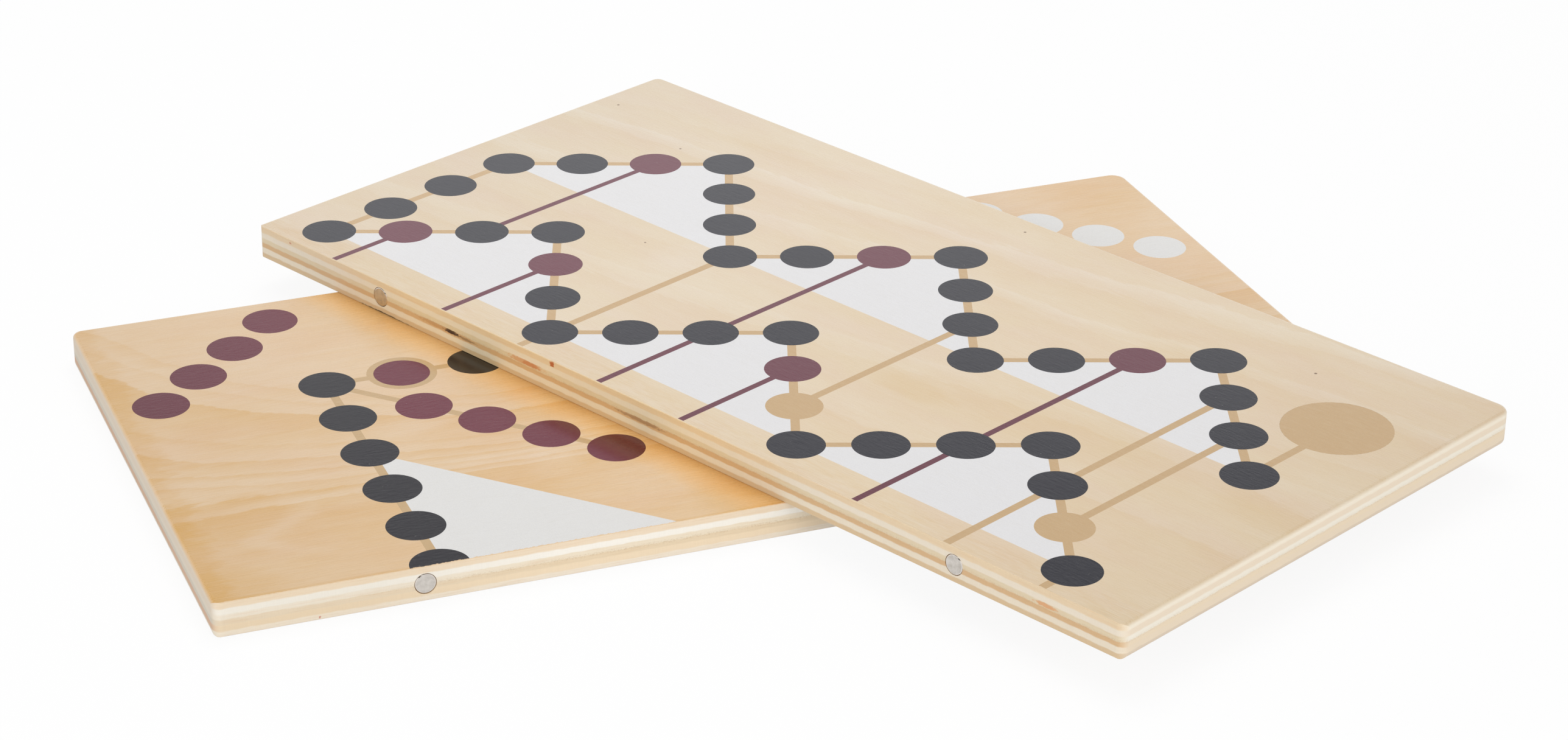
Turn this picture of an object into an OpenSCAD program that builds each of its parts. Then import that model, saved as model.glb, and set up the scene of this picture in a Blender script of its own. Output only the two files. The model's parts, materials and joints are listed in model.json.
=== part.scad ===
// Two-part, two-sided game board of six-ply plywood.
// Each half is a 2:1 plate. Two disc magnets let into the joining edge hold the halves edge to edge.
// One side carries a ludo ring, the other a ladder game. Each half has a part of both.
// Shown as stored loose: the upper half lies turned across the lower half.
// Frame: X along the lower half's long side, Y away from its joining edge, Z up.
// The origin is the middle of the lower half's underside.

/* [Board halves] */
// Length of one half, along its joining edge
board_l = 400; // [388:1:480]
// Width of one half, from the joining edge to the far edge
board_w = 200; // [190:1:260]
// Thickness of each face veneer
face_ply = 2.1; // [1.5:0.1:3.5]
// Thickness of each crossband veneer
cross_ply = 2.1; // [1.2:0.1:3.5]
// Thickness of each of the two core veneers
core_ply = 1.8; // [1.2:0.1:3.5]
// Plan radius of the far left corner, as sanded by hand
left_corner_r = 3.5; // [2:0.5:8]
// Plan radius of the far right corner
right_corner_r = 5.5; // [2:0.5:8]
// Plan radius of the two corners at the joining edge
joint_corner_r = 3; // [1:0.5:6]
// Rounding of the arrises along the three outer edges
arris_r = 1.5; // [0.4:0.1:1.8]
// Small bevel along both arrises of the joining edge
joint_bevel = 0.2; // [0.1:0.05:0.6]

/* [Magnets] */
// Diameter of a magnet
magnet_d = 7; // [4:0.5:8]
// Length of a magnet, from the joining edge inwards
magnet_h = 5; // [2:0.5:12]
// Rounding of a magnet's rims
magnet_rim = 0.4; // [0.1:0.1:0.8]
// Glue gap round a magnet in its bore
magnet_fit = 0.1; // [0.05:0.05:0.3]
// Distance of a magnet's axis from the nearer end of the joining edge
magnet_inset = 66.7; // [20:0.1:150]

/* [Print] */
// Diameter of a playing field
field_d = 19.1; // [12:0.1:24]
// Width of the tan track lines
track_w = 3; // [1:0.1:6]
// Width of the wine slide lines
slide_w = 2.5; // [1:0.1:6]
// Depth to which the ink sits flush in a face veneer
ink_t = 0.1; // [0.05:0.05:0.4]
// Distance from the joining edge at which the ladder game's lines end
line_gap = 0.5; // [0.3:0.1:4]

/* [Ludo side] */
// Spacing of the fields along the square ring
ring_step = 26; // [20:0.5:30]
// Shift of the printed ring to the right of the middle
ring_shift = 1.5; // [-4:0.1:4]
// Steps from one corner of the ring to the next
ring_steps = 10; // [8:2:12]
// Steps from a ring corner to the end of a white triangle
triangle_start = 2; // [1:1:3]
// Spacing of the goal fields along each axis
goal_step = 16.7; // [12:0.1:22]
// Spacing of the home fields along each axis
home_step = 16.7; // [12:0.1:22]
// Distance of the middle of a home row from the two far edges
home_inset = 41; // [28:0.5:60]
// Outer diameter of the tan ring round a start field
start_ring_d = 23.8; // [20:0.1:30]

/* [Ladder side] */
// Spacing of the columns of fields, and rise of the zigzag from field to field
col_step = 19.2; // [14:0.1:19.5]
// Shift of the columns to the left of the middle, which leaves room for the finish disc
col_shift = 4.9; // [0:0.1:8]
// Peaks of the zigzag in each row
peaks = 3; // [1:1:3]
// Distance between the valley lines of two rows
row_pitch = 86.5; // [70:0.5:95]
// Diameter of the finish disc
finish_d = 37; // [24:0.2:44]
// Height of the finish disc above the last field of the top row
finish_rise = 46; // [30:0.1:60]

/* [Upper half as it lies] */
// Place of the upper half's middle, along the lower half
lay_x = 50.5; // [-150:0.5:150]
// Place of the upper half's middle, across the lower half
lay_y = -2; // [-80:0.5:80]
// Turn of the upper half on the lower half, in degrees
lay_turn = -65.4; // [-180:0.1:180]

/* [Hidden] */
$fn = 96;
board_t = 2 * (face_ply + cross_ply + core_ply);
field_r = field_d / 2;
ring_half = ring_step * ring_steps / 2;
// Rows of the ladder game, counted from the finish down. Each half has two of them.
row_count = 4;
// Fields on the link from one row to the next
link_fields = 2;
// Fields of a goal row and of a home row
goal_fields = 4;
// Slides down, in wine: the rows of the two ends, and the column
slide_fields = [[1, 2, 2], [1, 3, 8], [1, 4, 14], [2, 3, 1], [2, 4, 4], [2, 3, 10], [3, 4, 12]];
// Climbs up, in tan: the rows of the two ends, and the column
climb_fields = [[2, 1, 11], [2, 1, 17], [3, 1, 6], [4, 1, 16], [4, 3, 2]];
// Colour of each player, clockwise from the far left corner
PLAYERS = ["wine", "white", "tan", "dark"];
INKS = ["dark", "wine", "tan", "white"];
// Fields from a valley of the zigzag up to its peak
peak_steps = 3;
cols = 2 * peak_steps * peaks;
// Length past the board of the shapes that are cut away or trimmed
over = 5;

wood_face = [0.90, 0.80, 0.64];
wood_cross = [0.93, 0.88, 0.76];
wood_core = [0.80, 0.66, 0.48];
nickel = [0.78, 0.77, 0.76];
function ink_color(ink) = ink == "dark" ? [0.20, 0.20, 0.21]
                        : ink == "wine" ? [0.42, 0.24, 0.28]
                        : ink == "tan" ? [0.76, 0.62, 0.44]
                        : [0.93, 0.93, 0.94];

// Heights of the six veneers, counted from the underside of a half
PLY_T = [face_ply, cross_ply, core_ply, core_ply, cross_ply, face_ply];
function ply_z(i) = i == 0 ? 0 : ply_z(i - 1) + PLY_T[i - 1];

// A half's own frame: X along the joining edge from its middle, Y away from it, Z up from the underside.

// Section of breadth w and height h, from the inside outwards, with its two outer corners rounded to r
module rounded_section(w, h, r) {
    intersection() {
        square([w, h]);
        union() {
            square([w - r, h]);
            translate([0, r]) square([w, h - 2 * r]);
            for (y = [r, h - r]) translate([w - r, y]) circle(r);
        }
    }
}

// Section of an outer edge of the board, with both arrises rounded
module edge_section(breadth) {
    rounded_section(breadth, board_t, arris_r);
}

// Blank with rounded arrises along the two ends and the far edge. It runs past the joining edge.
module eased_blank() {
    left = -board_l / 2 + left_corner_r;
    right = board_l / 2 - right_corner_r;
    strip = max(left_corner_r, right_corner_r);
    translate([left, -over, 0]) cube([right - left, board_w - strip + over, board_t]);
    translate([left, board_w - strip, 0]) rotate([90, 0, 90])
        linear_extrude(right - left) edge_section(strip);
    for (side = [[left, left_corner_r, 1], [right, right_corner_r, 0]])
        translate([side[0], board_w - side[1], 0]) mirror([side[2], 0, 0]) {
            rotate([90, 0, 0]) linear_extrude(board_w - side[1] + over) edge_section(side[1]);
            rotate_extrude() edge_section(side[1]);
        }
}

// What is taken off the two corners at the joining edge
module joint_corner_cuts() {
    for (s = [0, 1]) mirror([s, 0, 0])
        translate([board_l / 2 - joint_corner_r, joint_corner_r, -over]) linear_extrude(board_t + 2 * over)
            difference() {
                translate([0, -joint_corner_r - over]) square(joint_corner_r + over);
                circle(joint_corner_r);
            }
}

// What the bevels take off the arrises of the joining edge
module joint_bevel_cuts() {
    for (z = [0, board_t]) translate([0, 0, z]) rotate([45, 0, 0])
        cube([board_l + 2 * over, sqrt(2) * joint_bevel, sqrt(2) * joint_bevel], center = true);
}

// The two magnet bores, sunk into the joining edge at mid-thickness
module magnet_bores() {
    for (s = [-1, 1]) translate([s * (board_l / 2 - magnet_inset), magnet_h, board_t / 2])
        rotate([90, 0, 0]) cylinder(h = magnet_h + over, d = magnet_d + 2 * magnet_fit);
}

// Veneer number i, counted from the underside
module ply(i) {
    difference() {
        intersection() {
            eased_blank();
            translate([-board_l, 0, ply_z(i)]) cube([2 * board_l, 2 * board_w, PLY_T[i]]);
        }
        joint_corner_cuts();
        joint_bevel_cuts();
        magnet_bores();
    }
}

// Magnet disc, flush with the joining edge, at the left (-1) or right (1)
module magnet(side) {
    color(nickel) translate([side * (board_l / 2 - magnet_inset), magnet_h, board_t / 2])
        rotate([90, 0, 0]) rotate_extrude() rounded_section(magnet_d / 2, magnet_h, magnet_rim);
}

// Straight printed line of width w between two points
module line(a, b, w) {
    d = b - a;
    translate(a) rotate(atan2(d[1], d[0])) translate([0, -w / 2]) square([norm(d), w]);
}

// Flat part of a face that takes print, on the half where y is positive
module print_area() {
    translate([-board_l / 2 + arris_r, joint_bevel])
        square([board_l - 2 * arris_r, board_w - arris_r - joint_bevel]);
}

// Ludo layout over both halves, with the middle of the whole board as its origin
function outward(p) = [[-1, 1], [1, 1], [1, -1], [-1, -1]][p];
function clockwise(p) = [[1, 0], [0, -1], [-1, 0], [0, 1]][p];
function ring_corner(p) = [ring_shift, 0] + ring_half * outward(p);
function start_field(p) = ring_corner(p) + ring_step * clockwise(p);

module ludo_fields(ink) {
    for (p = [0:3]) {
        if (ink == "dark")
            for (k = [0:ring_steps - 1])
                if (k != 1) translate(ring_corner(p) + k * ring_step * clockwise(p)) circle(field_r);
        if (ink == PLAYERS[p]) {
            translate(start_field(p)) circle(field_r);
            for (k = [0:goal_fields - 1])
                translate(ring_corner(p) - (ring_step + k * goal_step) * outward(p)) circle(field_r);
            home = [outward(p)[0] * (board_l / 2 - home_inset), outward(p)[1] * (board_w - home_inset)];
            along = [outward(p)[0], -outward(p)[1]];
            for (k = [0:goal_fields - 1])
                translate(home + (k - (goal_fields - 1) / 2) * home_step * along) circle(field_r);
        }
    }
}

module ludo_lines() {
    for (p = [0:3]) {
        line(ring_corner(p), ring_corner((p + 1) % 4), track_w);
        last = ring_corner(p) - (ring_step + (goal_fields - 1) * goal_step) * outward(p);
        line(ring_corner(p), last, track_w);
        translate(start_field(p)) circle(d = start_ring_d);
    }
}

module ludo_triangles() {
    reach = ring_half - triangle_start * ring_step;
    for (p = [0:3]) translate([ring_shift, 0]) rotate(90 * p)
        polygon([[-reach, ring_half], [reach, ring_half], [0, ring_half - reach]]);
}

// Ladder layout over both halves, with the middle of the whole board as its origin
function col_x(k) = (k - cols / 2) * col_step - col_shift;
function valley_y(row) = ((row_count + 1) / 2 - row) * row_pitch - peak_steps * col_step / 2;
function steps_up(k) = peak_steps - abs(k % (2 * peak_steps) - peak_steps);
function field_at(row, k) = [col_x(k), valley_y(row) + steps_up(k) * col_step];
// Rows are linked at the left and at the right by turns
function link_x(row) = col_x(row % 2 == 1 ? 0 : cols);
function is_start(list, row, k) = len([for (m = list) if (m[0] == row && m[2] == k) m]) > 0;

module ladder_fields(ink) {
    for (row = [1:row_count]) {
        for (k = [0:cols]) {
            here = is_start(slide_fields, row, k) ? "wine" : is_start(climb_fields, row, k) ? "tan" : "dark";
            if (here == ink) translate(field_at(row, k)) circle(field_r);
        }
        if (ink == "dark" && row < row_count)
            for (m = [1:link_fields])
                translate([link_x(row), valley_y(row) - m * row_pitch / (link_fields + 1)]) circle(field_r);
    }
    if (ink == "tan") translate(field_at(1, cols) + [0, finish_rise]) circle(d = finish_d);
}

module ladder_tracks() {
    for (row = [1:row_count]) {
        for (k = [0:cols - 1]) line(field_at(row, k), field_at(row, k + 1), track_w);
        if (row < row_count) line([link_x(row), valley_y(row)], [link_x(row), valley_y(row + 1)], track_w);
    }
    for (m = climb_fields) if (m[2] <= cols) line(field_at(m[0], m[2]), field_at(m[1], m[2]), track_w);
    line(field_at(1, cols), field_at(1, cols) + [0, finish_rise], track_w);
}

module ladder_slides() {
    for (m = slide_fields) if (m[2] <= cols) line(field_at(m[0], m[2]), field_at(m[1], m[2]), slide_w);
}

module ladder_triangles() {
    for (row = [1:row_count], p = [0:peaks - 1])
        polygon([for (j = [0:2]) field_at(row, (2 * p + j) * peak_steps)]);
}

// One colour of a side, as it shows: fields lie over lines, lines over the white triangles
module ludo_ink(ink) {
    if (ink == "dark" || ink == "wine") ludo_fields(ink);
    if (ink == "tan") difference() {
        union() { ludo_lines(); ludo_fields("tan"); }
        for (c = ["dark", "wine", "white"]) ludo_fields(c);
    }
    if (ink == "white") {
        ludo_fields("white");
        difference() {
            ludo_triangles();
            ludo_lines();
            for (c = ["dark", "wine", "tan"]) ludo_fields(c);
        }
    }
}

module ladder_ink(ink) {
    if (ink == "dark") ladder_fields("dark");
    if (ink == "wine") difference() {
        union() { ladder_fields("wine"); clear_of_joint() ladder_slides(); }
        for (c = ["dark", "tan"]) ladder_fields(c);
    }
    if (ink == "tan") difference() {
        union() { ladder_fields("tan"); clear_of_joint() ladder_tracks(); }
        for (c = ["dark", "wine"]) ladder_fields(c);
    }
    if (ink == "white") difference() {
        ladder_triangles();
        ladder_tracks();
        ladder_slides();
        for (c = ["dark", "wine", "tan"]) ladder_fields(c);
    }
}

// Lines stop a little short of the joining edge on both halves
module clear_of_joint() {
    difference() {
        children();
        square([board_l + 2 * over, 2 * line_gap], center = true);
    }
}

// All that is printed on a side, in whatever colour
module ludo_print() {
    for (c = INKS) ludo_fields(c);
    ludo_lines();
    ludo_triangles();
}

module ladder_print() {
    for (c = INKS) ladder_fields(c);
    clear_of_joint() { ladder_tracks(); ladder_slides(); }
    ladder_triangles();
}

// The part of a side's print that falls on one half, in that half's frame: one ink of it, or all of it.
// The lower half has the ludo side's positive y and the ladder side's negative y.
module half_print(side, half, ink) {
    flip = (side == "ludo") == (half == "upper");
    intersection() {
        print_area();
        mirror([0, flip ? 1 : 0]) {
            if (side == "ludo" && ink == "all") ludo_print();
            if (side == "ludo" && ink != "all") ludo_ink(ink);
            if (side == "ladder" && ink == "all") ladder_print();
            if (side == "ladder" && ink != "all") ladder_ink(ink);
        }
    }
}

// Side that a half shows on top
function shown_side(half) = half == "lower" ? "ludo" : "ladder";

// Ink on the top or the underside of a half, flush with the face
module ink_film(side, half, ink) {
    color(ink_color(ink)) translate([0, 0, side == shown_side(half) ? board_t - ink_t : 0])
        linear_extrude(ink_t) half_print(side, half, ink);
}

// Face veneer with one recess for the whole print of its side. The recess is cut from outside the face.
module face_veneer(side, half) {
    on_top = side == shown_side(half);
    color(wood_face) difference() {
        ply(on_top ? 5 : 0);
        translate([0, 0, on_top ? board_t - ink_t : -over])
            linear_extrude(ink_t + over) half_print(side, half, "all");
    }
}

// Places of the two halves
module lower_half() { translate([0, -board_w / 2, 0]) children(); }
module upper_half() {
    translate([lay_x, lay_y, board_t]) rotate(lay_turn) translate([0, -board_w / 2, 0]) children();
}

lower_half() face_veneer("ludo", "lower");  // lower_ludo_face_veneer
lower_half() color(wood_cross) ply(4);  // lower_ludo_side_crossband
lower_half() color(wood_core) ply(3);  // lower_ludo_side_core
lower_half() color(wood_core) ply(2);  // lower_ladder_side_core
lower_half() color(wood_cross) ply(1);  // lower_ladder_side_crossband
lower_half() face_veneer("ladder", "lower");  // lower_ladder_face_veneer
upper_half() face_veneer("ladder", "upper");  // upper_ladder_face_veneer
upper_half() color(wood_cross) ply(4);  // upper_ladder_side_crossband
upper_half() color(wood_core) ply(3);  // upper_ladder_side_core
upper_half() color(wood_core) ply(2);  // upper_ludo_side_core
upper_half() color(wood_cross) ply(1);  // upper_ludo_side_crossband
upper_half() face_veneer("ludo", "upper");  // upper_ludo_face_veneer

lower_half() magnet(-1);  // lower_left_magnet
lower_half() magnet(1);  // lower_right_magnet
upper_half() magnet(-1);  // upper_left_magnet
upper_half() magnet(1);  // upper_right_magnet

lower_half() ink_film("ludo", "lower", "dark");  // lower_ludo_dark_ink
lower_half() ink_film("ludo", "lower", "wine");  // lower_ludo_wine_ink
lower_half() ink_film("ludo", "lower", "tan");  // lower_ludo_tan_ink
lower_half() ink_film("ludo", "lower", "white");  // lower_ludo_white_ink

lower_half() ink_film("ladder", "lower", "dark");  // lower_ladder_dark_ink
lower_half() ink_film("ladder", "lower", "wine");  // lower_ladder_wine_ink
lower_half() ink_film("ladder", "lower", "tan");  // lower_ladder_tan_ink
lower_half() ink_film("ladder", "lower", "white");  // lower_ladder_white_ink

upper_half() ink_film("ladder", "upper", "dark");  // upper_ladder_dark_ink
upper_half() ink_film("ladder", "upper", "wine");  // upper_ladder_wine_ink
upper_half() ink_film("ladder", "upper", "tan");  // upper_ladder_tan_ink
upper_half() ink_film("ladder", "upper", "white");  // upper_ladder_white_ink

upper_half() ink_film("ludo", "upper", "dark");  // upper_ludo_dark_ink
upper_half() ink_film("ludo", "upper", "tan");  // upper_ludo_tan_ink
upper_half() ink_film("ludo", "upper", "white");  // upper_ludo_white_ink
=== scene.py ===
import json
import math

import bmesh
import bpy
from mathutils import Matrix, Vector


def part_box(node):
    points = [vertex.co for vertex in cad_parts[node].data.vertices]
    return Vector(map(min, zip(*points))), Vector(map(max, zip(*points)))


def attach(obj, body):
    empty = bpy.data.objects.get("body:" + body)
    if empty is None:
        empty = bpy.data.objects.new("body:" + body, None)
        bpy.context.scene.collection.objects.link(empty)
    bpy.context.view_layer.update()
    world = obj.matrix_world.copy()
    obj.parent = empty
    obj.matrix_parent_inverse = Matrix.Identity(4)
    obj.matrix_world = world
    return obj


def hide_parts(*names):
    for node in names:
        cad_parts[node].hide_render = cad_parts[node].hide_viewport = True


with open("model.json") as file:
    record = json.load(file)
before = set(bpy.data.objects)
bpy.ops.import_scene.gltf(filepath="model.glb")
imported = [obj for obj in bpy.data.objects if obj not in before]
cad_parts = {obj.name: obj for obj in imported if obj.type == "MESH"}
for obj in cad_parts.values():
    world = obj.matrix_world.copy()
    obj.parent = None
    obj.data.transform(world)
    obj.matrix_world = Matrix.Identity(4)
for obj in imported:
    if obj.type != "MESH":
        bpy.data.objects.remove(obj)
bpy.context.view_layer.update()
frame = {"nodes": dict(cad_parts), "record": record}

# The camera stands low in front of the board's left end and looks across the lower half's joining edge.
# Its place, turn and lens are those at which the straight edges and the printed fields fall where the
# photograph has them.
camera_data = bpy.data.cameras.new("camera")
camera_data.sensor_width = 36.0
camera_data.lens = 88.65
camera_data.clip_start = 0.05
camera_data.clip_end = 50.0
camera = bpy.data.objects.new("camera", camera_data)
heading = Matrix.Rotation(math.radians(-21.796), 4, "Z")
tilt = Matrix.Rotation(math.radians(90 - 26.545), 4, "X")
roll = Matrix.Rotation(math.radians(0.769), 4, "Z")
camera.matrix_world = Matrix.Translation((-0.41493, -1.09849, 0.59645)) @ heading @ tilt @ roll
bpy.context.scene.collection.objects.link(camera)
bpy.context.scene.camera = camera
bpy.context.scene.view_settings.view_transform = "Standard"


# The board lies on a white paper sweep under a wide soft box, with two more low at its left and in
# front, which stay out of reflections. Those show the white room all round, whose walls fall off to dark
# grey higher up. The paper is plain white to the camera and keeps a part of the board's shadow.
def node(tree, kind, inputs=None, **settings):
    """One shader node, with its settings and with the values or links of its inputs."""
    made = tree.nodes.new("ShaderNode" + kind)
    for name, value in settings.items():
        setattr(made, name, value)
    for name, value in (inputs or {}).items():
        if isinstance(value, bpy.types.NodeSocket):
            tree.links.new(value, made.inputs[name])
        else:
            made.inputs[name].default_value = value
    return made


def calc(tree, operation, *values):
    """One arithmetic node."""
    return node(tree, "Math", dict(enumerate(values)), operation=operation).outputs[0]


def total(tree, first, *others):
    """The sum of the values."""
    for other in others:
        first = calc(tree, "ADD", first, other)
    return first


def product(tree, first, *others):
    """The values multiplied together."""
    for other in others:
        first = calc(tree, "MULTIPLY", first, other)
    return first


def blank(name):
    """A new material and its empty node tree."""
    material = bpy.data.materials.new(name)
    material.use_nodes = True
    material.node_tree.nodes.clear()
    return material, material.node_tree


def seen_directly(tree):
    """1 where the camera or a reflection looks at the surface, and 0 for its light on other things."""
    rays = node(tree, "LightPath").outputs
    straight = calc(tree, "MAXIMUM", rays["Is Camera Ray"], rays["Is Glossy Ray"])
    return calc(tree, "MAXIMUM", straight, rays["Is Transmission Ray"])


world = bpy.data.worlds.new("white_room")
world.use_nodes = True
bpy.context.scene.world = world
room = world.node_tree
room.nodes.clear()
height = node(room, "SeparateXYZ", {0: node(room, "TexCoord").outputs["Generated"]}).outputs[2]
wall = node(room, "MapRange", {0: height, 1: 0.41, 2: 0.50, 3: 1.0, 4: 0.04}).outputs[0]
brightness = node(room, "MapRange", {0: seen_directly(room), 3: 0.58, 4: wall}).outputs[0]
air = node(room, "Background", {"Color": (1.0, 1.0, 1.0, 1.0), "Strength": brightness})
node(room, "OutputWorld", {"Surface": air.outputs[0]})

for name, place, size, power in (("top_soft_box", (0.05, 0.35, 1.20), 0.9, 7.0),
                                 ("left_soft_box", (-1.15, -0.95, 0.55), 0.8, 7.5),
                                 ("front_soft_box", (0.35, -1.40, 0.45), 0.8, 4.0)):
    lamp_data = bpy.data.lights.new(name, "AREA")
    lamp_data.shape = "SQUARE"
    lamp_data.size = size
    lamp_data.energy = power
    lamp = bpy.data.objects.new(name, lamp_data)
    lamp.visible_glossy = name == "top_soft_box"
    facing = (-Vector(place)).to_track_quat("-Z", "Y").to_matrix().to_4x4()
    lamp.matrix_world = Matrix.Translation(place) @ facing
    bpy.context.scene.collection.objects.link(lamp)

sweep_mesh = bmesh.new()
bmesh.ops.create_grid(sweep_mesh, x_segments=2, y_segments=2, size=6.0)
sweep_data = bpy.data.meshes.new("white_sweep")
sweep_mesh.to_mesh(sweep_data)
sweep_mesh.free()
sweep = bpy.data.objects.new("white_sweep", sweep_data)
bpy.context.scene.collection.objects.link(sweep)
white_paper, paper = blank("white_paper")
lit = node(paper, "BsdfDiffuse", {"Color": (0.86, 0.86, 0.86, 1.0)})
plain = node(paper, "Emission", {"Color": (1.0, 1.0, 1.0, 1.0), "Strength": 1.0})
share = product(paper, seen_directly(paper), 0.90)
mixed = node(paper, "MixShader", {0: share, 1: lit.outputs[0], 2: plain.outputs[0]})
node(paper, "OutputMaterial", {"Surface": mixed.outputs[0]})
sweep_data.materials.append(white_paper)


# Each half is glued up from six birch veneers. The outer two are peeled face veneers with their grain
# along the joining edge: the lower half's show a warm flame figure, the upper half's a pale, calm one.
# Their faces are sanded and sealed for the print, and the joining edge is left as the saw cut it.
HALF_L, HALF_T = 400.0, 12.0
# Refractive index of each half's glossy surface, wood and ink alike
GLOSS_IOR = {"lower": 1.54, "upper": 1.60}


def shade(red, green, blue):
    """A colour from its values out of 255, as they are read off a screen."""
    levels = [value / 255 for value in (red, green, blue)]
    return [x / 12.92 if x <= 0.04045 else ((x + 0.055) / 1.055) ** 2.4 for x in levels] + [1.0]


def lie_of(half):
    """Left joining corner of a half's underside, and the half's turn about Z."""
    mount = next(m for m in frame["record"]["mounts"] if m["name"] == half + "_joining_edge")
    turn = math.atan2(mount["axis"][0], -mount["axis"][1])
    along = Vector((math.cos(turn), math.sin(turn), 0.0))
    return Vector(mount["pos_m"]) - along * HALF_L / 2000 - Vector((0.0, 0.0, HALF_T / 2000)), turn


def half_place(tree, half):
    """Place in a half, in mm: along the joining edge from its left end, away from it, and up."""
    corner, turn = lie_of(half)
    settings = {"Vector": node(tree, "TexCoord").outputs["Object"], "Location": corner,
                "Rotation": (0.0, 0.0, turn), "Scale": (0.001, 0.001, 0.001)}
    return node(tree, "Mapping", settings, vector_type="TEXTURE").outputs[0]


def grain(tree, place, sizes, start=0.0, detail=2.0, roughness=0.5):
    """Noise from 0 to 1 with features of the given sizes, in mm, along, across and through a half."""
    spread = {0: place, 1: [1 / size for size in sizes], 2: [start, start * 1.7, start * 0.6]}
    vector = node(tree, "VectorMath", spread, operation="MULTIPLY_ADD").outputs[0]
    made = {"Vector": vector, "Scale": 1.0, "Detail": detail, "Roughness": roughness}
    return node(tree, "TexNoise", made).outputs[0]


def reach(tree, value, low, high, to_low=0.0, to_high=1.0):
    """The value's way from low to high, held at both ends."""
    return node(tree, "MapRange", {0: value, 1: low, 2: high, 3: to_low, 4: to_high}).outputs[0]


def tint(tree, amount, under, over, way="MIX"):
    """One colour laid over another by the amount."""
    return node(tree, "Mix", {0: amount, 6: under, 7: over}, data_type="RGBA", blend_type=way).outputs[2]


def tone(tree, colour, level):
    """The colour made lighter or darker: level 1 leaves it as it is."""
    grey = node(tree, "CombineXYZ", {0: level, 1: level, 2: level}).outputs[0]
    return tint(tree, 1.0, colour, grey, "MULTIPLY")


def oval(tree, a, b, centre, size):
    """The distance from an oval's centre, squared: 1 on its outline."""
    across = calc(tree, "DIVIDE", calc(tree, "SUBTRACT", a, centre[0]), size[0] / 2)
    up = calc(tree, "DIVIDE", calc(tree, "SUBTRACT", b, centre[1]), size[1] / 2)
    return total(tree, product(tree, across, across), product(tree, up, up))


def mark(tree, a, b, centre, size, rag=None):
    """An oval mark round a place: 1 inside, 0 outside. rag frays its outline."""
    far = calc(tree, "SQRT", oval(tree, a, b, centre, size))
    if rag is not None:
        far = total(tree, far, product(tree, calc(tree, "SUBTRACT", rag, 0.5), 1.5))
    return reach(tree, far, 1.15, 0.75)


def frayed(tree, place, v, widest):
    """1 along the brink of the joining edge, where the saw frayed the surface, with a ragged limit."""
    ragged = grain(tree, place, (0.8, 3.0, 3.0), 41.0, detail=4.0, roughness=0.65)
    limit = reach(tree, ragged, 0.40, 0.72, 0.18, widest)
    return reach(tree, calc(tree, "SUBTRACT", v, limit), 0.05, -0.05)


def stacked(tree, z, levels, colours):
    """The colours of the veneers one above the other, running into each other at the glue lines."""
    colour = colours[0]
    for level, above in zip(levels, colours[1:]):
        colour = tint(tree, reach(tree, z, level - 0.22, level + 0.22), colour, above)
    return colour


# Colours of the six veneers where the saw cut them, from the underside up: on the joining edge and on the
# ends. The end colours are partly the veneers' own grain and partly painted shade, painted darker on the
# lower half. The joining edge has painted shade on the lower half's first stretch and towards both ends
# of the upper half's: there each kind of veneer is seen through a filter.
VENEERS = {
    "lower": {"ladder_face_veneer": (shade(235, 223, 205), shade(214, 206, 190)),
              "ladder_side_crossband": (shade(233, 213, 183), shade(200, 163, 134)),
              "ladder_side_core": (shade(224, 204, 173), shade(197, 188, 172)),
              "ludo_side_core": (shade(230, 217, 194), shade(209, 198, 180)),
              "ludo_side_crossband": (shade(239, 234, 224), shade(209, 194, 174)),
              "ludo_face_veneer": (shade(230, 211, 185), shade(212, 197, 177))},
    "upper": {"ludo_face_veneer": (shade(217, 186, 139), shade(222, 204, 181)),
              "ludo_side_crossband": (shade(234, 216, 182), shade(234, 216, 190)),
              "ludo_side_core": (shade(215, 174, 121), shade(235, 216, 187)),
              "ladder_side_core": (shade(225, 203, 160), shade(242, 234, 218)),
              "ladder_side_crossband": (shade(235, 218, 186), shade(236, 219, 195)),
              "ladder_face_veneer": (shade(231, 203, 158), shade(244, 233, 213))}}
EDGE_SHADE_FILTERS = {"lower": {"face": (0.94, 0.934, 0.915), "crossband": (0.90, 0.887, 0.862),
                    "core": (0.947, 0.968, 1.02)},
          "upper": dict.fromkeys(("face", "crossband", "core"), (0.89, 0.93, 1.075))}


def glue_lines(half):
    """Heights of the five glue lines over a half's underside, in mm."""
    bottom = lie_of(half)[0].z
    return [(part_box(half + "_" + ply)[1][2] - bottom) * 1000 for ply in list(VENEERS[half])[:-1]]


def in_painted_edge_shade(colour, half, ply):
    """A veneer's colour under the painted shade on the joining edge."""
    shares = next(shares for kind, shares in EDGE_SHADE_FILTERS[half].items() if kind in ply)
    return [level * share for level, share in zip(colour, shares)] + [1.0]


def painted_contact_shade(tree, colour, contact_shade_colour, near, far):
    """The lower half's top with painted contact shade along the line on which the upper half lies, in place
    of its shadow and of the light that its edge throws back. Up to near mm out from that line, fading out
    by far mm, and fading out 14 mm in under the upper half, the colour is multiplied by a filter colour.
    """
    mount = next(m for m in frame["record"]["mounts"] if m["name"] == "upper_joining_edge")
    outward, on_line = Vector(mount["axis"]), Vector(mount["pos_m"])
    spot = node(tree, "TexCoord").outputs["Object"]
    away = node(tree, "VectorMath", {0: spot, 1: outward}, operation="DOT_PRODUCT").outputs["Value"]
    away = product(tree, calc(tree, "SUBTRACT", away, outward.dot(on_line)), 1000.0)
    on_top = reach(tree, node(tree, "SeparateXYZ", {0: spot}).outputs[2], 0.010, 0.011)
    amount = product(tree, reach(tree, away, far, near), reach(tree, away, -14.0, 0.0), on_top)
    return tint(tree, amount, colour, tint(tree, 1.0, colour, contact_shade_colour, "MULTIPLY"))


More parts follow.
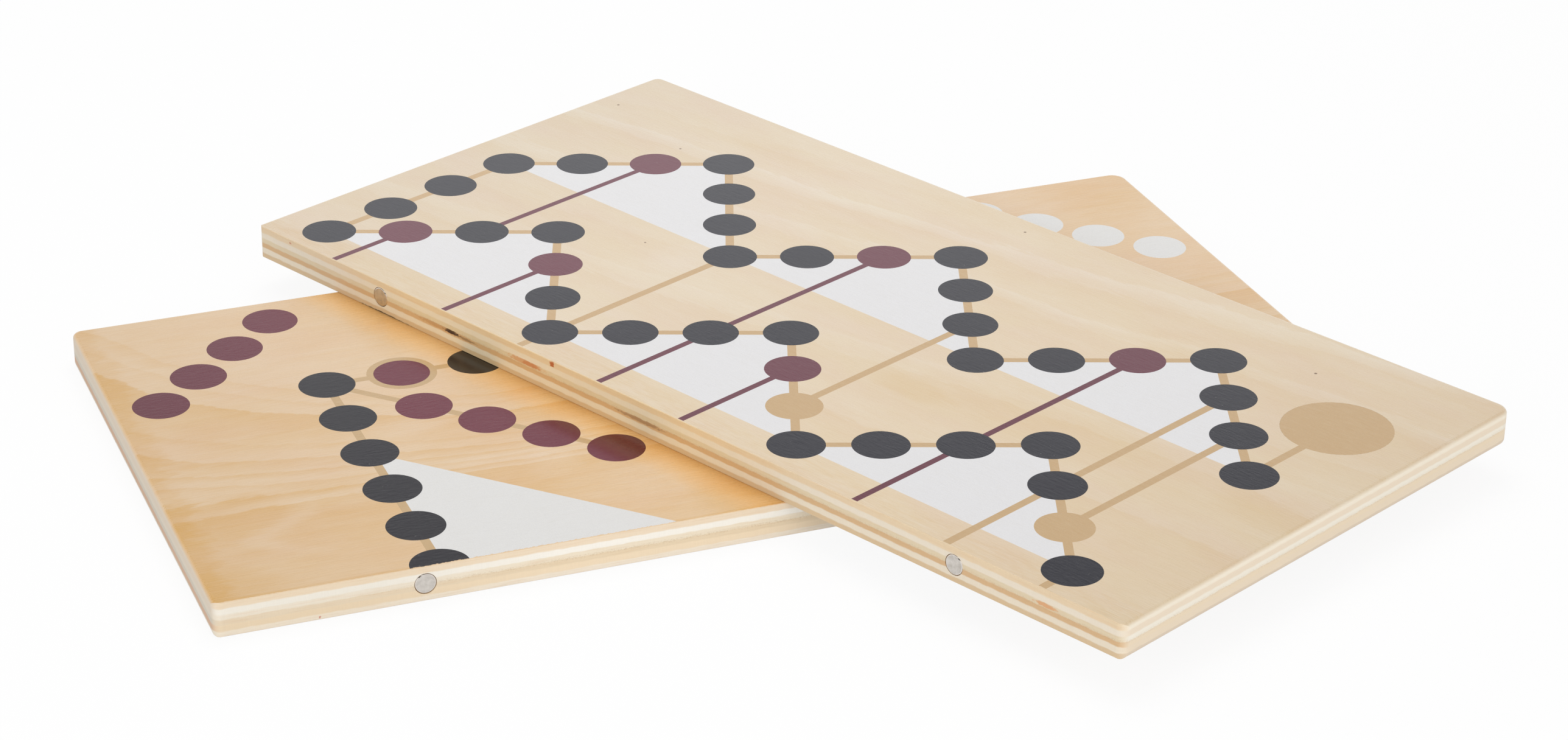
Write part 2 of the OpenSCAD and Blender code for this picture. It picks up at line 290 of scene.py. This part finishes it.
def ripples(tree, field, levels):
    """Growth rings where a field passes the given levels: each darkens at once and fades out below.

    A level is (place, strength, fade), and a negative strength gives a pale ring.
    """
    depth = 0.0
    for level, strength, fade in levels:
        below = reach(tree, field, level + 0.5, level - 0.7)
        ring = product(tree, below, reach(tree, field, level - fade, level - 0.7, 0.0, strength))
        depth = total(tree, depth, ring)
    return depth


def lower_figure(tree, u, v, waver, mottle):
    """Depth of colour of the lower half's flames, and a painted light falloff: the half painted darker
    towards its left end.
    """
    slope = product(tree, calc(tree, "MINIMUM", u, 120.0), 0.015)
    lean = product(tree, slope, reach(tree, v, 50.0, 150.0, 0.0, 100.0))
    flames = ripples(tree, total(tree, v, waver, lean),
                     [(205.0, 0.30, 14.0), (186.0, 0.22, 9.0), (165.5, 0.70, 60.0), (122.0, 0.25, 8.0),
                      (104.0, 0.55, 16.0), (89.0, 0.55, 8.0), (76.0, 0.35, 6.0), (65.0, 0.60, 10.0),
                      (56.0, 0.75, 110.0)])
    bend = calc(tree, "COSINE", product(tree, calc(tree, "SUBTRACT", v, 52.0), math.pi / 20))
    loop = calc(tree, "SUBTRACT", calc(tree, "SUBTRACT", u, 33.0), product(tree, bend, 12.0))
    loop = calc(tree, "ABSOLUTE", total(tree, loop, product(tree, waver, 1.5)))
    loop = product(tree, reach(tree, loop, 8.5, 1.5, 0.0, -0.32), reach(tree, v, 62.0, 52.0),
                   reach(tree, v, 16.0, 28.0))
    stained = total(tree, u, reach(tree, mottle, 0.3, 0.7, -5.0, 5.0))
    stain = reach(tree, stained, 9.0, 4.0, 0.0, 0.5)
    rim = calc(tree, "MAXIMUM", stain, reach(tree, v, 2.0, 0.3, 0.0, 0.6))
    # The second value is painted light falloff: the half is painted darker towards its left end.
    return total(tree, flames, loop, rim, 0.20), reach(tree, u, 0.0, 130.0, 0.945, 1.03)


def upper_figure(tree, u, v, waver, teeth):
    """Depth of colour of the upper half's calm bands, and a painted light falloff: the half painted darker
    towards both ends.
    """
    slanted = calc(tree, "SUBTRACT", total(tree, v, waver), product(tree, u, 0.128))
    bands = ripples(tree, slanted,
                    [(172.0, 0.20, 10.0), (154.0, -0.55, 8.0), (145.0, 0.35, 24.0), (121.0, -0.40, 7.0),
                     (112.0, 0.30, 26.0), (78.0, 0.25, 14.0), (58.0, -0.25, 8.0), (46.0, 0.35, 30.0),
                     (8.0, 0.45, 40.0)])
    right = reach(tree, u, 120.0, 385.0, -0.10, 0.45)
    low = product(tree, reach(tree, v, 13.0, 9.0, 0.0, 0.5), reach(tree, teeth, 0.35, 0.65))
    # Painted light falloff: the half is painted darker towards both ends.
    painted_light_falloff = reach(tree, u, 400.0, 290.0, 0.962, 1.015)
    painted_light_falloff = calc(tree, "MINIMUM", reach(tree, u, 0.0, 110.0, 0.965, 1.015), painted_light_falloff)
    return total(tree, bands, right, low), painted_light_falloff


def face_colour(tree, half, place, face, start, specks, clouds):
    """Colour of the sanded faces: growth rings as the peeling knife met them, stains, streaks and specks.

    The rings run in long flames, whose upper side is toothed by the fibres. Painted light is laid over the
    face: it is painted darker towards the ends of the half, and on the lower half painted shade lies beside
    the upper half.
    """
    u, v = node(tree, "SeparateXYZ", {0: place}).outputs[:2]
    swell = grain(tree, place, (90.0, 30.0, 30.0), start + 11.0, detail=2.0)
    teeth = grain(tree, place, (7.0, 1.1, 1.1), start + 5.0, detail=3.0, roughness=0.6)
    waver = total(tree, reach(tree, swell, 0.25, 0.75, -6.0, 6.0), reach(tree, teeth, 0.2, 0.8, -2.2, 2.2))
    cloud = grain(tree, place, (70.0, 50.0, 30.0), start + 7.0, detail=3.0)
    mottle = grain(tree, place, (16.0, 5.0, 5.0), start + 15.0, detail=3.0, roughness=0.6)
    streaks = (28.0, 0.9, 0.9) if half == "lower" else (9.0, 0.6, 0.6)
    drawn = grain(tree, place, streaks, start + 23.0, detail=3.0)
    if half == "lower":
        depth, painted_light_falloff = lower_figure(tree, u, v, waver, mottle)
    else:
        depth, painted_light_falloff = upper_figure(tree, u, v, waver, teeth)
    for centre, size, strength in clouds:
        away = total(tree, oval(tree, u, v, centre, size), reach(tree, teeth, 0.2, 0.8, -0.35, 0.35))
        depth = total(tree, depth, reach(tree, away, 1.2, 0.0, 0.0, strength))
    depth = total(tree, depth, reach(tree, mottle, 0.25, 0.75, -0.16, 0.16),
                  reach(tree, drawn, 0.25, 0.75, -0.11, 0.11), reach(tree, cloud, 0.30, 0.70, -0.14, 0.14))
    spread = {0: depth, 6: face[0], 7: face[1]}
    flat = node(tree, "Mix", spread, data_type="RGBA", clamp_factor=False).outputs[2]
    blush = grain(tree, place, (46.0, 20.0, 20.0), start + 31.0, detail=3.0)
    blushing = tint(tree, 1.0, flat, face[2], "MULTIPLY")
    flat = tone(tree, tint(tree, reach(tree, blush, 0.42, 0.66, 0.0, 0.8), flat, blushing), painted_light_falloff)
    if half == "lower":
        # Painted contact shade: beside the upper half the wood is painted darker and more orange, for its
        # shadow and the warm light thrown back from its edge.
        flat = painted_contact_shade(tree, flat, (0.99, 0.80, 0.48, 1.0), 3.0, 15.0)
    for spot in specks:
        inside = product(tree, mark(tree, u, v, spot[:2], (spot[2], spot[2])), 0.8)
        flat = tint(tree, inside, flat, shade(98, 66, 44))
    return flat


def edge_colours(tree, half, place, wander, saw, across, start, marks):
    """Colour of the sawn joining edge, with its streaks and marks, and colour of the ends."""
    u, v, z = node(tree, "SeparateXYZ", {0: place}).outputs
    # 1 where the joining edge has no painted shade
    clear_of_edge_shade = reach(tree, u, 50.0, 110.0)
    if half == "upper":
        clear_of_edge_shade = product(tree, reach(tree, u, 45.0, 85.0), reach(tree, u, 265.0, 215.0))
    plies, ends = [], []
    for ply, (on_edge, on_end) in VENEERS[half].items():
        plies.append(tint(tree, clear_of_edge_shade, in_painted_edge_shade(on_edge, half, ply), on_edge))
        ends.append(on_end)
    cut = stacked(tree, wander, glue_lines(half), plies)
    cut = tone(tree, cut, reach(tree, saw, 0.25, 0.75, 0.98, 1.018))
    streak = grain(tree, place, (14.0, 9.0, 0.5), start + 19.0, detail=4.0, roughness=0.6)
    streak = reach(tree, streak, 0.50, 0.75, 0.0, 0.05 if across else 0.28)
    cut = tint(tree, streak, cut, shade(206, 160, 104))
    rag = grain(tree, place, (1.4, 2.0, 0.5), start + 9.0, detail=2.0)
    for centre, size, colour, strength in marks:
        inside = product(tree, mark(tree, u, z, centre, size, rag), strength)
        cut = tint(tree, inside, cut, colour)
    return cut, stacked(tree, wander, glue_lines(half), ends)


def dress(pieces, material):
    """Gives the pieces the material."""
    for piece in pieces:
        frame["nodes"][piece].data.materials.clear()
        frame["nodes"][piece].data.materials.append(material)


def birch(name, half, pieces, across, face, start, specks=(), marks=(), clouds=()):
    """Veneer of one half, with its grain along the joining edge or across the half.

    face is (light, dark, blush) of the figure. specks and clouds lie on the faces, marks on the joining
    edge. start moves the noise, so that no two sheets are alike.
    """
    material, tree = blank(name)
    place = half_place(tree, half)
    u, v, z = node(tree, "SeparateXYZ", {0: place}).outputs
    long, short = ((0.8, 9.0, 0.25), (0.32, 1.4, 0.15)) if across else ((9.0, 0.8, 0.25), (1.4, 0.32, 0.15))
    fibre = grain(tree, place, long, start, detail=4.0, roughness=0.6)
    pores = grain(tree, place, short, start + 3.0, detail=2.0)
    saw = grain(tree, place, (0.30, 6.0, 9.0), start + 2.0, detail=3.0, roughness=0.6)
    grit = grain(tree, place, (0.5, 0.5, 0.35), start + 27.0, detail=3.0, roughness=0.7)
    flat = face_colour(tree, half, place, face, start, specks, clouds)

    # The joining edge and the ends, on which the glue lines wander a little, and the frayed brink
    wavy = grain(tree, place, (4.0, 4.0, 1.6), 17.0, detail=4.0)
    wander = total(tree, z, reach(tree, wavy, 0.2, 0.8, -0.05, 0.45))
    cut, end = edge_colours(tree, half, place, wander, saw, across, start, marks)
    side = tint(tree, reach(tree, v, 0.1, 2.8), cut, end)
    upright = node(tree, "SeparateXYZ", {0: node(tree, "TexCoord").outputs["Normal"]}).outputs[2]
    on_side = reach(tree, calc(tree, "ABSOLUTE", upright), 0.85, 0.20)
    flat = tint(tree, product(tree, frayed(tree, place, v, 0.45), 0.6), flat, cut)
    colour = tint(tree, on_side, flat, side)

    # Long fibres, short pores that are a little warmer, and the fuzz about the middle glue line
    grey = tone(tree, colour, reach(tree, fibre, 0.25, 0.75, 0.994, 1.005))
    pore = tint(tree, 1.0, grey, (0.93, 0.905, 0.86, 1.0), "MULTIPLY")
    colour = tint(tree, reach(tree, pores, 0.45, 0.80, 0.0, 0.30), grey, pore)
    near = calc(tree, "ABSOLUTE", calc(tree, "SUBTRACT", wander, glue_lines(half)[2]))
    fuzzy = product(tree, reach(tree, near, 0.9, 0.2), reach(tree, grit, 0.48, 0.62), on_side,
                    reach(tree, u, 40.0, 80.0, 0.05, 0.34))
    colour = tint(tree, fuzzy, colour, shade(176, 142, 98))

    height = product(tree, total(tree, fibre, pores), reach(tree, on_side, 0.0, 1.0, 0.12, 0.4))
    height = total(tree, height, product(tree, total(tree, saw, grit), on_side))
    relief = node(tree, "Bump", {"Strength": 0.6, "Distance": 0.00003, "Height": height}).outputs[0]
    roughness = total(tree, reach(tree, fibre, 0.2, 0.8, 0.24, 0.32), product(tree, on_side, 0.30))
    wood = node(tree, "BsdfPrincipled", {"Base Color": colour, "Roughness": roughness, "Normal": relief,
                                         "IOR": GLOSS_IOR[half]})
    node(tree, "OutputMaterial", {"Surface": wood.outputs[0]})
    dress(pieces, material)


warm = (shade(223, 198, 167), shade(216, 180, 131), shade(254, 251, 252))
pale = (shade(223, 206, 180), shade(218, 195, 160), shade(254, 251, 255))
birch("lower_face_birch_top", "lower", ["lower_ludo_face_veneer"], False, warm, start=1.0,
      clouds=[((14.0, 52.0), (44.0, 40.0), 0.30), ((150.0, 30.0), (60.0, 36.0), -0.45),
              ((45.0, 62.0), (50.0, 12.0), 0.3), ((4.0, 4.0), (40.0, 40.0), 0.35),
              ((90.0, 92.0), (30.0, 14.0), -0.4), ((125.0, 50.0), (20.0, 20.0), -0.3),
              ((58.0, 50.0), (20.0, 16.0), -0.35),
              ((103.0, 172.0), (26.0, 70.0), 0.35), ((128.0, 118.0), (34.0, 50.0), 0.35),
              ((105.0, 76.0), (60.0, 26.0), 0.2), ((172.0, 20.0), (26.0, 60.0), 0.35),
              ((385.0, 190.0), (50.0, 60.0), 0.4)])
birch("lower_face_birch_under", "lower", ["lower_ladder_face_veneer"], False, warm, start=21.0,
      marks=[((33.0, 0.9), (0.8, 0.8), shade(196, 120, 100), 0.8)])
birch("upper_face_birch_top", "upper", ["upper_ladder_face_veneer"], False, pale, start=33.0,
      specks=[(197, 191, 1.0), (339, 174, 1.1), (10, 169, 1.0), (57, 156, 0.9), (108, 88, 0.8)],
      marks=[((154.0, 10.7), (2.2, 3.2), shade(186, 92, 28), 0.95),
             ((18.0, 10.6), (1.6, 0.7), shade(186, 120, 90), 0.8)],
      clouds=[((252.0, 70.0), (40.0, 14.0), 0.6), ((390.0, 85.0), (44.0, 22.0), 0.4),
              ((90.0, 178.0), (60.0, 20.0), 0.35), ((300.0, 84.0), (110.0, 34.0), 0.35),
              ((95.0, 70.0), (70.0, 40.0), 0.2), ((128.0, 88.0), (26.0, 26.0), -0.35),
              ((300.0, 158.0), (70.0, 24.0), 0.3), ((365.0, 190.0), (80.0, 24.0), -0.3)])
# On its underside veneer, the dark mark along the bottom arris of the joining edge, from 56 to 82 mm along,
# is a painted shadow of the thin gap under that arris.
birch("upper_face_birch_under", "upper", ["upper_ludo_face_veneer"], False, pale, start=47.0,
      marks=[((69.0, 0.0), (26.0, 1.0), shade(46, 32, 20), 0.9)])


# The crossbands lie under the face veneers with their grain across the half, so that the joining edge
# shows their pale end grain and the two ends show their long grain.
birch("lower_crossband_top", "lower", ["lower_ludo_side_crossband"], True, warm, start=3.0)
birch("lower_crossband_under", "lower", ["lower_ladder_side_crossband"], True, warm, start=13.0)
birch("upper_crossband_top", "upper", ["upper_ladder_side_crossband"], True, pale, start=23.0)
birch("upper_crossband_under", "upper", ["upper_ludo_side_crossband"], True, pale, start=29.0)


# Two core veneers fill the middle, with their grain along the joining edge again. They are the lesser
# sheets of the stack, with resin streaks, a small knot and patches of heartwood.
knot_brown, heart_orange = shade(58, 26, 6), shade(208, 124, 38)
birch("lower_core_top", "lower", ["lower_ludo_side_core"], False, warm, start=4.0)
birch("lower_core_under", "lower", ["lower_ladder_side_core"], False, warm, start=14.0)
birch("upper_core_top", "upper", ["upper_ladder_side_core"], False, pale, start=24.0,
      marks=[((141.0, 6.9), (17.0, 2.3), heart_orange, 0.55),
             ((143.0, 6.8), (8.0, 1.7), shade(192, 98, 30), 0.5),
             ((370.0, 6.7), (9.0, 1.4), heart_orange, 0.6)])
birch("upper_core_under", "upper", ["upper_ludo_side_core"], False, pale, start=31.0,
      marks=[((97.0, 5.4), (20.0, 1.9), shade(190, 138, 82), 0.6),
             ((111.0, 4.9), (10.0, 1.0), shade(122, 84, 44), 0.6),
             ((103.8, 5.2), (7.5, 1.5), knot_brown, 1.0),
             ((196.0, 5.2), (22.0, 1.4), shade(150, 108, 72), 0.6)])


# Four disc magnets hold the halves together when they are set edge to edge. Each is a pressed neodymium
# disc under a skin of nickel, barrelled until its rims are round and a little chipped. It is pushed into
# a blind bore in the joining edge on a bead of clear glue, and none of the four sits quite square.
MAGNET_R, MAGNET_H, MAGNET_RIM = 0.0035, 0.005, 0.0004
MAGNET_INSET = 0.0667
# A chip in the rim: how far it goes round in radians, its depth, and how much it draws the rim in
CHIP_TURN, CHIP_DEPTH, CHIP_SHRINK = 0.22, 0.00022, 0.035
# The bead of glue: its radius, its gap to the disc, its depth under the disc's face, and its waves
BEAD_R, BEAD_GAP, BEAD_SUNK, BEAD_WAVE = 0.00005, 0.00004, 0.00030, 0.00006


def covered(name, colour, metallic, roughness, relief, smudged, pitted):
    """Nickel or glue: a smudged surface with fine pits. Both colours come as (clean, smudged, pit)."""
    material, tree = blank(name)
    across = {0: node(tree, "TexCoord").outputs["Object"], 1: (1000.0, 1000.0, 1000.0)}
    spot = node(tree, "VectorMath", across, operation="MULTIPLY").outputs[0]
    smudge = grain(tree, spot, (smudged,) * 3, detail=3.0)
    pits = grain(tree, spot, (0.33, 0.33, 0.33), start=5.0)
    skin = tint(tree, reach(tree, smudge, 0.30, 0.70), colour[0], colour[1])
    skin = tint(tree, reach(tree, pits, 0.70, 0.78, 0.0, pitted), skin, colour[2])
    bumps = node(tree, "Bump", {"Strength": 0.5, "Distance": relief, "Height": smudge}).outputs[0]
    finish = {"Base Color": skin, "Metallic": metallic, "Normal": bumps,
              "Roughness": reach(tree, smudge, 0.25, 0.75, roughness, roughness + 0.14)}
    surface = node(tree, "BsdfPrincipled", finish)
    node(tree, "OutputMaterial", {"Surface": surface.outputs[0]})
    return material


nickel = covered("magnet_nickel", (shade(212, 206, 199), shade(190, 184, 176), shade(96, 84, 74)),
                 1.0, 0.16, 0.00002, 1.6, 0.6)
polished = covered("magnet_rim_nickel", (shade(228, 220, 213), shade(212, 204, 196), shade(120, 104, 92)),
                   1.0, 0.07, 0.00001, 1.2, 0.4)
glue = covered("bore_glue", (shade(150, 112, 74), shade(104, 76, 50), shade(188, 158, 120)),
               0.0, 0.22, 0.00003, 0.8, 0.5)


def seated(mesh, name, half, at, lean, material):
    """The mesh, made with its axis up, set into a half's joining edge at a distance from the left end."""
    corner, turn = lie_of(half)
    along = Vector((math.cos(turn), math.sin(turn), 0.0))
    outward = along.cross(Vector((0.0, 0.0, 1.0)))
    stand = Matrix((along, Vector((0.0, 0.0, 1.0)), outward)).transposed().to_4x4()
    tip = Matrix.Rotation(math.radians(lean[0]), 4, "X") @ Matrix.Rotation(math.radians(lean[1]), 4, "Y")
    middle = corner + along * at + Vector((0.0, 0.0, HALF_T / 2000))
    bmesh.ops.transform(mesh, matrix=Matrix.Translation(middle) @ stand @ tip, verts=mesh.verts)
    bmesh.ops.recalc_face_normals(mesh, faces=mesh.faces)
    data = bpy.data.meshes.new(name)
    mesh.to_mesh(data)
    mesh.free()
    data.materials.append(material)
    piece = bpy.data.objects.new(name, data)
    bpy.context.scene.collection.objects.link(piece)
    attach(piece, half + "_half")
    return piece


for half, side, lean, chip in (("lower", "left", (0.4, -0.5), 2.1), ("lower", "right", (-0.3, 0.4), 4.0),
                               ("upper", "left", (0.7, 0.9), 0.8), ("upper", "right", (-0.4, 0.5), 1.0)):
    at = MAGNET_INSET if side == "left" else HALF_L / 1000 - MAGNET_INSET
    disc = bmesh.new()
    bmesh.ops.create_cone(disc, cap_ends=True, segments=96, radius1=MAGNET_R, radius2=MAGNET_R,
                          depth=MAGNET_H)
    bmesh.ops.translate(disc, vec=(0.0, 0.0, -MAGNET_H / 2), verts=disc.verts)
    caps = [face for face in disc.faces if len(face.verts) > 4]
    bmesh.ops.bevel(disc, geom=list({edge for cap in caps for edge in cap.edges}), offset=MAGNET_RIM,
                    segments=6, profile=0.5, affect="EDGES", material=-1)
    for face in disc.faces:
        face.smooth = True
        face.material_index = 1 if len(face.verts) == 4 else 0
    caps = [face for face in disc.faces if len(face.verts) > 4]
    bmesh.ops.inset_region(disc, faces=caps, thickness=0.00003, depth=0.0)
    for vert in disc.verts:
        round_rim = math.atan2(vert.co.y, vert.co.x) - chip
        away = abs(math.atan2(math.sin(round_rim), math.cos(round_rim)))
        on_rim = vert.co.z > -0.0003 and vert.co.xy.length > MAGNET_R - MAGNET_RIM
        if on_rim and away < CHIP_TURN:
            bite = 1 - away / CHIP_TURN
            vert.co.z -= CHIP_DEPTH * bite
            vert.co.xy *= 1 - CHIP_SHRINK * bite
    magnet = seated(disc, half + "_" + side + "_magnet_disc", half, at, lean, nickel)
    magnet.data.materials.append(polished)
    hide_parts(half + "_" + side + "_magnet")

    bead = bmesh.new()
    bmesh.ops.create_circle(bead, cap_ends=False, segments=8, radius=BEAD_R)
    upright = Matrix.Rotation(math.pi / 2, 3, "X")
    bmesh.ops.rotate(bead, cent=(0.0, 0.0, 0.0), matrix=upright, verts=bead.verts)
    bmesh.ops.translate(bead, vec=(MAGNET_R + BEAD_GAP, 0.0, -BEAD_SUNK), verts=bead.verts)
    bmesh.ops.spin(bead, geom=bead.verts[:] + bead.edges[:], cent=(0.0, 0.0, 0.0), axis=(0.0, 0.0, 1.0),
                   dvec=(0.0, 0.0, 0.0), angle=2 * math.pi, steps=72, use_merge=True, use_duplicate=False)
    for face in bead.faces:
        face.smooth = True
    for vert in bead.verts:
        vert.co.z += BEAD_WAVE * math.sin(5 * math.atan2(vert.co.y, vert.co.x) + chip)
    ring = seated(bead, half + "_" + side + "_glue_bead", half, at, (0.0, 0.0), glue)


# The fields, lines and triangles are screen-printed in four satin inks, wet on the sealed veneer. The
# ink is thin, so the grain stands through it as fine short ridges, and it is a little patchy.
def printed(name, half, pieces, colour, thin, patchy, left, right):
    """A printed ink. thin is its colour where it lies thinnest, and patchy how much that shows.

    left and right are its depth of colour towards the two ends of a half.
    """
    material, tree = blank(name)
    place = half_place(tree, half)
    ridges = grain(tree, place, (5.0, 0.32, 0.32), 2.0, detail=3.0, roughness=0.65)
    cloud = grain(tree, place, (9.0, 6.0, 6.0), 6.0, detail=3.0)
    speckle = grain(tree, place, (0.45, 0.30, 0.30), 8.0)
    dust = grain(tree, place, (0.9, 0.7, 0.7), 14.0, detail=1.0)
    worn = product(tree, reach(tree, ridges, 0.42, 0.78), reach(tree, cloud, 0.35, 0.70, 0.4, 1.0), patchy)
    film = tint(tree, worn, colour, thin)
    film = tone(tree, film, reach(tree, speckle, 0.30, 0.70, 0.965, 1.035))
    u, v = node(tree, "SeparateXYZ", {0: place}).outputs[:2]
    middle = (10.0, 90.0) if half == "lower" else (100.0, 380.0)
    film = tone(tree, film, reach(tree, u, middle[0], middle[1], left, right))
    if half == "lower":
        # Painted contact shade: beside the upper half the dark and wine inks are painted much darker, for
        # its shadow and their dimmer reflection there, and the tan and white inks warmer and darker.
        contact_shades = {"dark": (0.28, 0.15, 0.10, 1.0), "wine": (0.58, 0.21, 0.16, 1.0)}
        contact_shade_colour = contact_shades.get(name.split("_")[0], (0.97, 0.84, 0.62, 1.0))
        film = painted_contact_shade(tree, film, contact_shade_colour, 9.0, 18.5)
    film = tint(tree, frayed(tree, place, v, 0.80), film, shade(220, 190, 152))
    film = tint(tree, reach(tree, dust, 0.80, 0.82, 0.0, 0.3), film, shade(190, 186, 184))
    wrinkles = grain(tree, place, (3.2, 0.9, 0.9), 20.0, detail=3.0, roughness=0.6)
    height = total(tree, product(tree, ridges, 0.5), product(tree, wrinkles, 0.8),
                   product(tree, speckle, 0.3))
    relief = node(tree, "Bump", {"Strength": 1.0, "Distance": 0.00003, "Height": height}).outputs[0]
    roughness = reach(tree, ridges, 0.25, 0.75, 0.15, 0.22)
    satin = node(tree, "BsdfPrincipled", {"Base Color": film, "Roughness": roughness, "Normal": relief,
                                          "IOR": GLOSS_IOR[half]})
    node(tree, "OutputMaterial", {"Surface": satin.outputs[0]})
    dress(pieces, material)


inks = {"lower": {"dark": (shade(46, 45, 50), shade(66, 64, 68), 0.3, 1.0, 1.0),
                  "wine": (shade(111, 52, 66), shade(137, 84, 92), 0.25, 0.80, 1.0),
                  "tan": (shade(196, 166, 125), shade(204, 178, 140), 0.8, 0.97, 1.0),
                  "white": (shade(221, 220, 218), shade(214, 211, 206), 0.6, 1.0, 1.0)},
        "upper": {"dark": (shade(38, 38, 45), shade(68, 67, 72), 0.3, 1.45, 1.30),
                  "wine": (shade(106, 57, 70), shade(134, 90, 98), 0.25, 1.10, 0.92),
                  "tan": (shade(196, 165, 124), shade(204, 178, 140), 0.8, 1.04, 0.99),
                  "white": (shade(224, 223, 224), shade(217, 214, 211), 0.6, 1.0, 1.0)}}
for half, sets in inks.items():
    for ink, finish in sets.items():
        films = [half + side + ink + "_ink" for side in ("_ludo_", "_ladder_")]
        printed(ink + "_ink_" + half, half, [film for film in films if film in frame["nodes"]], *finish)
